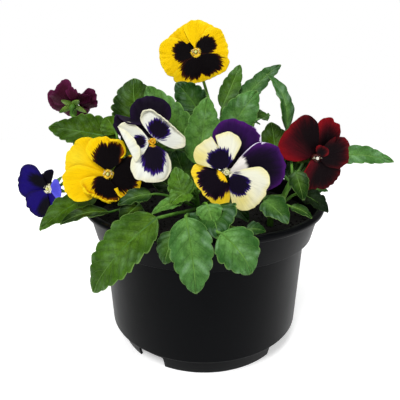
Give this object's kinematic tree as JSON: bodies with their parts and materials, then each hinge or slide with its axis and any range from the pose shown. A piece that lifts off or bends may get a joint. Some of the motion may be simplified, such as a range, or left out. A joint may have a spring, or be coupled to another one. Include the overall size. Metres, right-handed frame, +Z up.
{
  "type": "potted pansy planter",
  "caption": "Round black nursery pot with a stepped rim, filled with soil, holding leafy pansy stems in bloom.",
  "frame": {"origin": "centre of the pot's foot, on the surface that it stands on", "axes": "+Z up, -Y towards the front, +X to the right as seen from the front"},
  "size_m": [0.2697, 0.2056, 0.2247],
  "materials": {
    "black_plastic": "satin",
    "potting_soil": "rough",
    "leaf_green": "satin",
    "petal_yellow": "matte",
    "petal_cream": "matte",
    "petal_white": "matte",
    "petal_purple": "velvety",
    "petal_night": "velvety",
    "petal_red": "velvety",
    "petal_burgundy": "velvety",
    "petal_blue": "velvety"
  },
  "bodies": {
    "root": {"pot": "black_plastic", "soil": "potting_soil", "leafy_stem_front": "leaf_green", "leafy_stem_right": "leaf_green", "leafy_stem_left": "leaf_green", "leafy_stem_middle": "leaf_green", "leafy_stem_back_left": "leaf_green", "leafy_stem_back_right": "leaf_green", "leafy_stem_back": "leaf_green", "petals_yellow_top": "petal_yellow", "petals_burgundy_left": "petal_burgundy", "petals_yellow_left": "petal_yellow", "petals_night": "petal_night", "petals_white": "petal_white", "petals_purple": "petal_purple", "petal_yellow_lip": "petal_yellow", "petals_cream": "petal_cream", "petals_red_right": "petal_red", "petals_blue_left": "petal_blue"}
  },
  "joints": []
}
